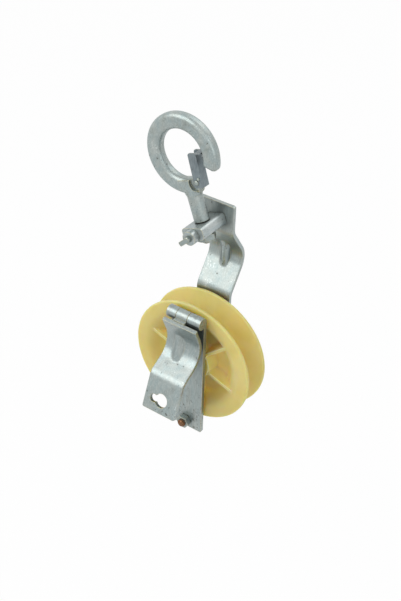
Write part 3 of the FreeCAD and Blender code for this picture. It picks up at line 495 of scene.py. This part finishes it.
def combine(piece, tools, operation):
    """Cut the tools out of a piece, or join them to it, and remove the tools."""
    for tool in tools:
        step = piece.modifiers.new("shape", "BOOLEAN")
        step.operation = operation
        step.solver = "EXACT"
        step.object = tool
        shaped = piece.evaluated_get(bpy.context.evaluated_depsgraph_get())
        mesh = bpy.data.meshes.new_from_object(shaped)
        piece.modifiers.clear()
        piece.data = mesh
        bpy.data.objects.remove(tool)


def round_line(points, radii, step):
    """A line through points of a plane, with an arc of each inner point's radius."""
    spots = [Vector(p) for p in points]
    line = [spots[0]]
    for i, radius in enumerate(radii, start=1):
        before = (spots[i - 1] - spots[i]).normalized()
        after = (spots[i + 1] - spots[i]).normalized()
        half = before.angle(after) / 2
        reach = radius / math.tan(half)
        centre = spots[i] + (before + after).normalized() * (radius / math.sin(half))
        first = spots[i] + before * reach - centre
        last = spots[i] + after * reach - centre
        sweep = first.angle_signed(last)
        parts = max(4, int(abs(sweep) * radius / step))
        for k in range(parts + 1):
            turn = -sweep * k / parts
            line.append(centre + Vector((first.x * math.cos(turn) - first.y * math.sin(turn),
                                         first.x * math.sin(turn) + first.y * math.cos(turn))))
    line.append(spots[-1])
    return line


def divide(line, step):
    """The same line with points no further apart than step."""
    out = [line[0]]
    for a, b in zip(line, line[1:]):
        parts = max(1, math.ceil((b - a).length / step))
        out += [a.lerp(b, k / parts) for k in range(1, parts + 1)]
    return out


# Flat bar: a section with rounded edges, swept along a line of (y, z) points and pressed

STRAP_THICK = 4.0
STRAP_HALF = 20.0
END_CORNER = 1.5
EDGE_ROUND = 0.45
SWEEP_STEP = 0.8
COARSE_COLUMNS = (8.5, 11, 14, 17)
FINE_COLUMNS = 13
FINE_STEP = 0.5


def section_columns():
    """Places across the bar, closer together where the rib is pressed."""
    fine = [i * FINE_STEP for i in range(-FINE_COLUMNS, FINE_COLUMNS + 1)]
    outer = list(COARSE_COLUMNS) + [STRAP_HALF - EDGE_ROUND]
    return [-x for x in reversed(outer)] + fine + outer


def section_points():
    """Round the bar's section, anticlockwise: pairs of a place across and a height."""
    half = STRAP_THICK / 2
    columns = section_columns()
    corner = []
    for degrees in (22.5, 45, 67.5):
        turn = math.radians(degrees)
        corner.append((STRAP_HALF - EDGE_ROUND + EDGE_ROUND * math.sin(turn),
                       -half + EDGE_ROUND - EDGE_ROUND * math.cos(turn)))
    loop = [(x, -half) for x in columns] + corner
    loop += [(STRAP_HALF, -half + EDGE_ROUND), (STRAP_HALF, half - EDGE_ROUND)]
    loop += [(x, -t) for x, t in reversed(corner)]
    loop += [(x, half) for x in reversed(columns)]
    loop += [(-x, -t) for x, t in corner]
    loop += [(-STRAP_HALF, half - EDGE_ROUND), (-STRAP_HALF, -half + EDGE_ROUND)]
    return loop + [(-x, t) for x, t in reversed(corner)]


def end_width(away):
    """Half width of the bar at a distance from an end with rounded corners."""
    if away >= END_CORNER:
        return STRAP_HALF
    return STRAP_HALF - END_CORNER + math.sqrt(END_CORNER ** 2 - (END_CORNER - away) ** 2)


def end_shares(line, round_ends):
    """For each point of the line, the share of the full width that the bar has there."""
    lengths = [0.0]
    for a, b in zip(line, line[1:]):
        lengths.append(lengths[-1] + (b - a).length)
    shares = []
    for length in lengths:
        away = []
        if round_ends[0]:
            away.append(length)
        if round_ends[1]:
            away.append(lengths[-1] - length)
        shares.append(end_width(min(away)) / STRAP_HALF)
    return shares


def sweep_bar(name, line, press, round_ends):
    """Sweep the section along a line, moving each point by press(x, y) towards the rear."""
    line = divide(line, SWEEP_STEP)
    loop = section_points()
    verts, faces = [], []
    for i, (spot, share) in enumerate(zip(line, end_shares(line, round_ends))):
        ahead = line[min(i + 1, len(line) - 1)] - line[max(i - 1, 0)]
        normal = Vector((ahead.y, -ahead.x)).normalized()
        for x, t in loop:
            y = spot.x + normal.x * t + press(x, spot.x)
            verts.append((x * share * MM, y * MM, (spot.y + normal.y * t) * MM))
    count = len(loop)
    for i in range(len(line) - 1):
        for k in range(count):
            a, b = i * count + k, i * count + (k + 1) % count
            faces.append((a, a + count, b + count, b))
    faces.append(tuple(range(count)))
    faces.append(tuple(reversed(range((len(line) - 1) * count, len(line) * count))))
    return new_piece(name, verts, faces)


# Pressed rib: how far the press moves the bar at each place

LEAST_PRESS = 0.01
RIB_TAPER = 0.15


def smooth_step(value):
    """A value from 0 to 1 with a soft start and end."""
    value = min(1.0, max(0.0, value))
    return value * value * (3 - 2 * value)


def soft_over(height, soft):
    """A number above 0 as it is, eased near 0 and nothing well below it."""
    if height <= -4 * soft:
        return 0.0
    return (height + math.sqrt(height * height + soft * soft)) / 2 - soft / 2


class Rib:
    """A rib's crest and its reach left and right of it, its full height, and where it starts."""

    def __init__(self, crest, left, right, full, steepness, chord, soft):
        self.crest = crest
        self.left = left
        self.right = right
        self.full = full
        self.steepness = steepness
        self.chord = chord
        self.soft = soft

    def height(self, x, beyond):
        """The press at x, where the bar's inner face lies a distance beyond the rib's chord."""
        height = soft_over(beyond, self.soft)
        if height < LEAST_PRESS:
            return 0.0
        narrow = min(1.0, height / self.full) ** RIB_TAPER
        if x < self.crest:
            return height * (1 - smooth_step((self.crest - x) / (self.left * narrow)))
        across = (x - self.crest) / (self.right * narrow)
        return height * max(0.0, 1 - across ** 2) ** self.steepness


# Rear bar: pressed forward along its bulge

REAR_LINE = [(21.5, -85), (21.5, 69.73), (46.39, 106), (21.5, 142.27), (21.5, 172.5)]
REAR_RADII = (14, 21, 14)
REAR_RIB = Rib(crest=1.0, left=8.0, right=5.0, full=6.5, steepness=0.6, chord=33.2, soft=0.8)
# Each hole is a radius and a height
AXLE_HOLE = (6.05, 0.0)
TIE_HOLE = (4.3, -76.5)
CROSSBAR_HOLE = (7.12, 153.0)
REAR_DRILL = (15, 30)


def make_rear_strap(material):
    """Bar with its rib and three holes."""
    def press(x, y):
        return -REAR_RIB.height(x, y - STRAP_THICK / 2 - REAR_RIB.chord)

    line = round_line(REAR_LINE, REAR_RADII, SWEEP_STEP)
    piece = sweep_bar("rear_bar", line, press, (True, True))
    drills = [cylinder("drill", radius, *REAR_DRILL, "Y", at=(0, 0, up))
              for radius, up in (AXLE_HOLE, TIE_HOLE, CROSSBAR_HOLE)]
    combine(piece, drills, "DIFFERENCE")
    finish_piece(piece, material, "frame")
    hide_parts("rear_strap")


# Gate: drawn shut about its hinge at the origin, then swung open to where it hangs

GATE_LINE = [(8.985, 7.19), (-18.57, 34.74), (5.85, 66.0), (5.85, 104.5)]
GATE_RADII = (25, 11)
GATE_RIB = Rib(crest=-3.5, left=7.5, right=6.0, full=5.0, steepness=1.0, chord=-3.0, soft=2.0)
# Each hole is a radius, a place across and a height
KEYHOLE = (7.45, 0, 90.5)
KEYHOLE_LOBE = (4.4, -8.8, 91.0)
GATE_DRILL = (0, 12)
GATE_TURN = math.radians(158)
HINGE = Vector((0, -26.0, 62.5)) * MM
ROLL_RADIUS = 6.5
ROLL_BORE = 2.55
ROLL_ENDS = (-8.45, 4.55)
TONGUE_LINE = (Vector((7.7, 6.3)), Vector((3.25, 3.25)))


def gate_tongue():
    """A flat block of the bar's thickness between the bar's end and the roll, in the YZ plane."""
    start, end = TONGUE_LINE
    along = (end - start).normalized()
    aside = Vector((along.y, -along.x)) * STRAP_THICK / 2
    outline = (start + aside, end + aside, end - aside, start - aside)
    verts = [(x * MM, spot.x * MM, spot.y * MM) for x in ROLL_ENDS for spot in outline]
    faces = [(k, k + 4, (k + 1) % 4 + 4, (k + 1) % 4) for k in range(4)]
    return new_piece("tongue", verts, [(0, 1, 2, 3), (7, 6, 5, 4)] + faces)


def gate_roll():
    """Bored roll round the hinge pin, with the tongue that joins it to the bar."""
    low, high = ROLL_ENDS
    roll = cylinder("roll", ROLL_RADIUS, low, high, "X", sides=96)
    combine(roll, [gate_tongue()], "UNION")
    combine(roll, [cylinder("bore", ROLL_BORE, low - 1, high + 1, "X")], "DIFFERENCE")
    return roll


def make_gate_strap(material):
    """Bar with its rib, roll, tongue and keyhole."""
    def press(x, y):
        return GATE_RIB.height(x, GATE_RIB.chord - STRAP_THICK / 2 - y)

    line = round_line(GATE_LINE, GATE_RADII, SWEEP_STEP)
    piece = sweep_bar("gate_bar", line, press, (False, True))
    drills = [cylinder("drill", radius, *GATE_DRILL, "Y", at=(x, 0, up))
              for radius, x, up in (KEYHOLE, KEYHOLE_LOBE)]
    combine(piece, drills, "DIFFERENCE")
    combine(piece, [gate_roll()], "UNION")
    piece.data.transform(Matrix.Translation(HINGE) @ Matrix.Rotation(GATE_TURN, 4, "X"))
    finish_piece(piece, material, "gate_group")
    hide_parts("gate_strap")


# Roller: one turned outline whose two faces carry soft moulded ribs

ROLLER_HALF = 16.5
RIM_OUTLINE = [(16.5, 60), (16.5, 69.5), (13.1, 69.5), (4.6, 43), (-4.6, 43), (-13.1, 69.5),
               (-16.5, 69.5), (-16.5, 60)]
RIM_RADII = (1.4, 1.4, 4.2, 4.2, 1.4, 1.4)
RIM_STEP = 0.6
BORE_RADIUS = 16.03
BORE_OUTLINE = [(-15.7, BORE_RADIUS), (-5, BORE_RADIUS), (-5, 14.53), (5, 14.53), (5, BORE_RADIUS),
                (15.7, BORE_RADIUS)]
HUB_RINGS = [BORE_RADIUS, 17, 18.5, 20, 20.8]
FACE_RINGS = HUB_RINGS + [21.4 + 0.4 * i for i in range(14)] + [27.2 + 0.8 * i for i in range(41)]
WEB = 2.5
WALL_START = 39
WALL_SLOPE = 14 / 13.5
WALL_ROUND = 7
WALL_FILLET = 5
HUB_TOP = 15.7
HUB_FACE = 21.4
HUB_FOOT = 5.0
HUB_ONLY = 22
TOP_ROUND = 0.8
RIBS = 6
FIRST_RIB = math.radians(101)
RIB_TOP = 15.1
RIB_FACE = 1.6
RIB_FOOT = 3.6
RIB_FILLET = 1.6
RIB_STEPS = (0, 0.9, 1.5, 1.8, 2.2, 2.7, 3.5, 4.7, 6.4)
RIB_OFFSETS = [-d for d in reversed(RIB_STEPS[1:])] + list(RIB_STEPS)
BETWEEN_RIBS = 16


def blend_up(a, b, soft):
    """The higher of two heights, with a fillet where they meet."""
    near = max(soft - abs(a - b), 0.0) / soft
    return max(a, b) + near * near * soft / 4


def blend_down(a, b, soft):
    """The lower of two heights, rounded where they meet."""
    return -blend_up(-a, -b, soft)


def flank(away, top, foot):
    """A moulded wall: steep at its top edge, flowing into the web at its foot."""
    share = max(0.0, 1 - away / foot)
    return blend_down(top, WEB + (top + 1 - WEB) * share ** 3, TOP_ROUND)


def face_height(radius, aside):
    """Height of the roller's face above its middle plane, at a distance aside of the nearest rib."""
    hub = flank(radius - HUB_FACE, HUB_TOP, HUB_FOOT)
    if radius <= HUB_ONLY:
        return min(ROLLER_HALF, hub)
    wall = blend_down(ROLLER_HALF, WEB + (radius - WALL_START) * WALL_SLOPE, WALL_ROUND)
    rib = flank(aside - RIB_FACE, RIB_TOP, RIB_FOOT)
    inner = blend_up(blend_up(WEB, wall, WALL_FILLET), rib, RIB_FILLET)
    return min(ROLLER_HALF, max(hub, inner))


def column_turn(column, radius):
    """Angle of a column of points, and its distance aside of the nearest rib."""
    sector, k = divmod(column, len(RIB_OFFSETS) + BETWEEN_RIBS)
    span = 2 * math.pi / RIBS
    edge = math.asin(RIB_OFFSETS[-1] / radius)
    if k < len(RIB_OFFSETS):
        turn = math.asin(RIB_OFFSETS[k] / radius)
    else:
        share = (k - len(RIB_OFFSETS) + 1) / (BETWEEN_RIBS + 1)
        turn = edge + (span - 2 * edge) * share
    aside = radius * math.sin(min(abs(turn), span - turn))
    return FIRST_RIB + sector * span + turn, aside


def roller_column(column):
    """One column of points: front face, rim, rear face and bore."""
    def face_point(side, radius):
        turn, aside = column_turn(column, radius)
        return turn, side * face_height(radius, aside), radius

    def plain_point(y, radius):
        return column_turn(column, radius)[0], y, radius

    points = [face_point(-1, radius) for radius in FACE_RINGS]
    points += [plain_point(-p.x, p.y) for p in round_line(RIM_OUTLINE, RIM_RADII, RIM_STEP)]
    points += [face_point(1, radius) for radius in reversed(FACE_RINGS)]
    points += [plain_point(-y, radius) for y, radius in BORE_OUTLINE]
    return [(radius * math.cos(turn) * MM, y * MM, radius * math.sin(turn) * MM)
            for turn, y, radius in points]


def make_roller(material):
    """Columns of points right round the axle, joined to a closed skin."""
    columns = [roller_column(k) for k in range(RIBS * (len(RIB_OFFSETS) + BETWEEN_RIBS))]
    count = len(columns[0])
    faces = []
    for column in range(len(columns)):
        here = column * count
        after = (column + 1) % len(columns) * count
        for k in range(count):
            ahead = (k + 1) % count
            faces.append((here + k, here + ahead, after + ahead, after + k))
    verts = [point for column in columns for point in column]
    piece = new_piece("roller_body", verts, faces)
    finish_piece(piece, material, "roller_group", angle=50)
    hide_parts("roller")


# Threads on the bare ends of the tie bolt, the hook's shank and the axle

TURN_PARTS = 30
RUN_OUT = 10
ROOT_SINK = 0.2
FLANK_SHARE = 0.46
TIE_UP = -76.5
CROSSBAR_UP = 153
HOOK_LEAN = math.radians(20)


def thread_ridge(radius, low, high, pitch, depth):
    """A V-shaped ridge wound round the Y axis, fading out at both ends."""
    steps = int((high - low) / pitch * TURN_PARTS)
    root = radius - ROOT_SINK
    verts, faces = [], []
    for k in range(steps + 1):
        turn = 2 * math.pi * k / TURN_PARTS
        y = low + (high - low) * k / steps
        crest = radius + depth * min(1, k / RUN_OUT, (steps - k) / RUN_OUT)
        for r, shift in ((root, -FLANK_SHARE), (crest, 0), (root, FLANK_SHARE)):
            verts.append((r * math.cos(turn) * MM, (y + shift * pitch) * MM, r * math.sin(turn) * MM))
    for k in range(steps):
        for i in range(3):
            a, b = 3 * k + i, 3 * k + (i + 1) % 3
            faces.append((a, b, b + 3, a + 3))
    ends = [(2, 1, 0), (3 * steps, 3 * steps + 1, 3 * steps + 2)]
    return verts, faces + ends


def add_thread(name, ridge, place, material, body):
    piece = new_piece(name, *ridge)
    piece.data.transform(place)
    finish_piece(piece, material, body)


def make_threads(materials):
    """Each ridge is a radius, two ends along the axis, a pitch and a depth."""
    tie = Matrix.Translation((0, 0, TIE_UP * MM))
    lean = Matrix.Rotation(HOOK_LEAN, 4, "Y") @ Matrix.Rotation(math.radians(90), 4, "X")
    shank = Matrix.Translation((0, 0, CROSSBAR_UP * MM)) @ lean
    add_thread("tie_thread", thread_ridge(4, -32.4, -30.3, 0.9, 0.35), tie,
               materials["rusted"], "frame")
    add_thread("hook_thread", thread_ridge(5, -14.0, -12.1, 1.0, 0.4), shank,
               materials["forged"], "hook_group")
    add_thread("axle_thread", thread_ridge(6, 36.3, 38.5, 1.1, 0.45), Matrix.Identity(4),
               materials["fastener"], "frame")


def make_shapes(materials):
    """The pieces that replace nodes or add to them."""
    make_rear_strap(materials["bar"])
    make_gate_strap(materials["bar"])
    make_threads(materials)
    make_roller(materials["nylon"])


bpy.context.scene.view_settings.view_transform = "Standard"
make_camera()
make_world()
make_floor()
make_lamps()
materials = make_materials()
paint_nodes(materials)
make_shapes(materials)
